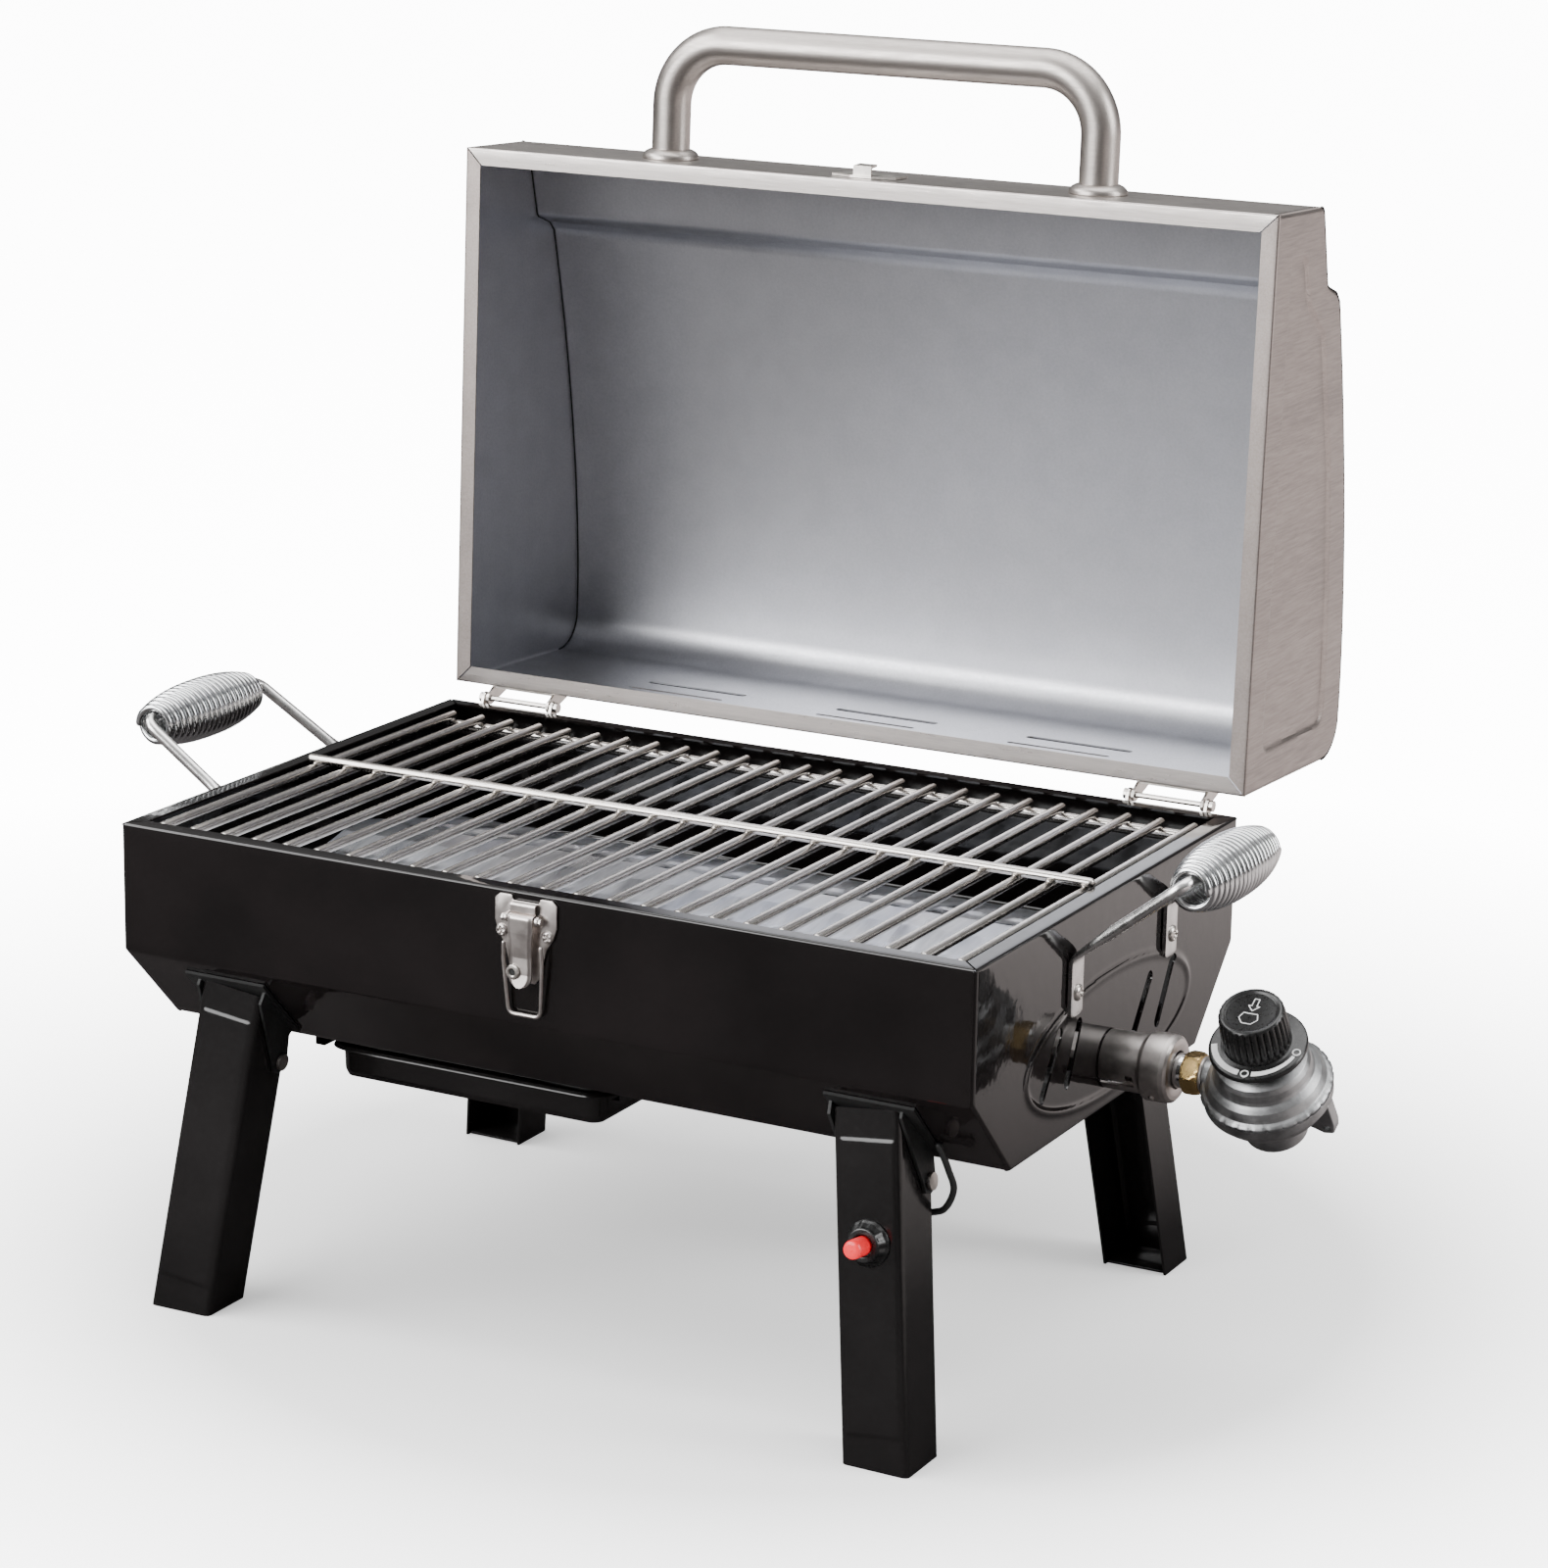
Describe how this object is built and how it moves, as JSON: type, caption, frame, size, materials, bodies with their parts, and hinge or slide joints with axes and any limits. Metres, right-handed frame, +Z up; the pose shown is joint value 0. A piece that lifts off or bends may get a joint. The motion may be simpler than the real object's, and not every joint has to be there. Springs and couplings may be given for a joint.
{
  "type": "folding camp grill",
  "caption": "Portable gas grill with a hinged domed lid, rod grate, heat tent, tube burner, folding channel legs, coil-grip handles, front latch and plug-in regulator.",
  "frame": {"origin": "bottom centre of the bounding box, on the ground between the feet", "axes": "+Z up, -Y to the front of the grill where the latch is, +X towards the regulator"},
  "size_m": [0.6432, 0.4492, 0.6062],
  "materials": {
    "black_coat": "semi-gloss black coating",
    "black_enamel": "glossy black enamel",
    "black_plastic": "matte black",
    "brass": "machined brass",
    "burner_steel": "plain steel tube",
    "ceramic": "glazed white ceramic",
    "chrome": "bright plated",
    "grate_steel": "plain round steel rod",
    "lid_steel": "brushed stainless steel",
    "red_plastic": "glossy red",
    "tent_steel": "heat-tinted steel sheet",
    "zinc": "matte cast zinc"
  },
  "bodies": {
    "firebox": {"burner_bracket": "black_coat", "burner_tube": "burner_steel", "firebox_end_left": "black_enamel", "firebox_end_right": "black_enamel", "firebox_shell": "black_enamel", "grate_ledge_front": "black_coat", "grate_ledge_rear": "black_coat", "handle_left": "chrome", "handle_right": "chrome", "heat_tent": "tent_steel", "heat_tent_support_left": "black_coat", "heat_tent_support_right": "black_coat", "hinge_body_leaf_left": "chrome", "hinge_body_leaf_right": "chrome", "hinge_pin_left": "chrome", "hinge_pin_right": "chrome", "igniter_electrode": "ceramic", "latch_base": "chrome", "latch_pin": "chrome", "leg_bracket_front_left": "black_coat", "leg_bracket_front_right": "black_coat", "leg_bracket_rear_left": "black_coat", "leg_bracket_rear_right": "black_coat", "leg_pin_front_left": "chrome", "leg_pin_front_right": "chrome", "leg_pin_rear_left": "chrome", "leg_pin_rear_right": "chrome", "tray_rail_left": "black_coat", "tray_rail_right": "black_coat"},
    "lid": {"hinge_lid_leaf_left": "chrome", "hinge_lid_leaf_right": "chrome", "lid_end_left": "lid_steel", "lid_end_right": "lid_steel", "lid_handle": "lid_steel", "lid_handle_collar_left": "lid_steel", "lid_handle_collar_right": "lid_steel", "lid_keeper": "chrome", "lid_shell": "lid_steel"},
    "latch_lever": {"latch_lever": "chrome"},
    "latch_bail": {"latch_bail": "chrome"},
    "cooking_grate": {"cooking_grate": "grate_steel"},
    "drip_tray": {"drip_tray": "black_coat"},
    "regulator": {"burner_sleeve": "burner_steel", "orifice_nipple": "chrome", "brass_nut": "brass", "regulator_body": "zinc", "regulator_cover": "zinc"},
    "valve_knob": {"valve_knob": "black_plastic"},
    "leg_front_left": {"leg_front_left": "black_coat"},
    "leg_rear_left": {"leg_rear_left": "black_coat"},
    "leg_rear_right": {"leg_rear_right": "black_coat"},
    "leg_front_right": {"leg_front_right": "black_coat", "igniter_bezel": "black_plastic", "igniter_spark_unit": "black_plastic", "igniter_wire": "black_plastic"},
    "igniter_button": {"igniter_button": "red_plastic"},
    "grip_left": {"grip_coil_left": "chrome"},
    "grip_right": {"grip_coil_right": "chrome"}
  },
  "joints": [
    {"name": "lid_hinge", "type": "hinge", "parent": "firebox", "child": "lid", "pos_m": [-0.01974, 0.09847, 0.2422], "axis": [1, 0, 0], "range_deg": [0, 92.2]},
    {"name": "latch_lever_pivot", "type": "hinge", "parent": "firebox", "child": "latch_lever", "pos_m": [-0.01974, -0.21113, 0.229], "axis": [-1, 0, 0], "range_deg": [0, 105]},
    {"name": "latch_bail_pivot", "type": "hinge", "parent": "latch_lever", "child": "latch_bail", "pos_m": [-0.01974, -0.21113, 0.2165], "axis": [-1, 0, 0], "range_deg": [0, 100]},
    {"name": "grate_lift", "type": "slide", "parent": "firebox", "child": "cooking_grate", "axis": [0, 0, 1], "range_m": [0, 0.05]},
    {"name": "tray_slide", "type": "slide", "parent": "firebox", "child": "drip_tray", "axis": [0, -1, 0], "range_m": [0, 0.12]},
    {"name": "regulator_pull", "type": "slide", "parent": "firebox", "child": "regulator", "axis": [1, 0, 0], "range_m": [0, 0.04]},
    {"name": "valve_turn", "type": "hinge", "parent": "regulator", "child": "valve_knob", "pos_m": [0.29026, -0.05753, 0.158], "axis": [0, -0.5, 0.866], "range_deg": [0, 270]},
    {"name": "leg_front_left_fold", "type": "hinge", "parent": "firebox", "child": "leg_front_left", "pos_m": [-0.197, -0.17801, 0.1255], "axis": [0.9933, 0, -0.1159], "range_deg": [0, 97]},
    {"name": "leg_front_right_fold", "type": "hinge", "parent": "firebox", "child": "leg_front_right", "pos_m": [0.15752, -0.17801, 0.1255], "axis": [0.9933, 0, 0.1159], "range_deg": [0, 97], "deforming": ["igniter_wire"]},
    {"name": "leg_rear_left_fold", "type": "hinge", "parent": "firebox", "child": "leg_rear_left", "pos_m": [-0.197, 0.06296, 0.1255], "axis": [-0.9933, 0, 0.1159], "range_deg": [0, 79]},
    {"name": "leg_rear_right_fold", "type": "hinge", "parent": "firebox", "child": "leg_rear_right", "pos_m": [0.15752, 0.06296, 0.1255], "axis": [-0.9933, 0, -0.1159], "range_deg": [0, 79]},
    {"name": "igniter_press", "type": "slide", "parent": "leg_front_right", "child": "igniter_button", "axis": [0.0147, 0.9919, -0.1262], "range_m": [0, 0.004], "stiffness_N_per_m": 400, "springref_m": -0.002},
    {"name": "grip_left_spin", "type": "hinge", "parent": "firebox", "child": "grip_left", "pos_m": [-0.30584, -0.06053, 0.26], "axis": [0, 1, 0], "continuous": true},
    {"name": "grip_right_spin", "type": "hinge", "parent": "firebox", "child": "grip_right", "pos_m": [0.26636, -0.06053, 0.26], "axis": [0, 1, 0], "continuous": true}
  ]
}
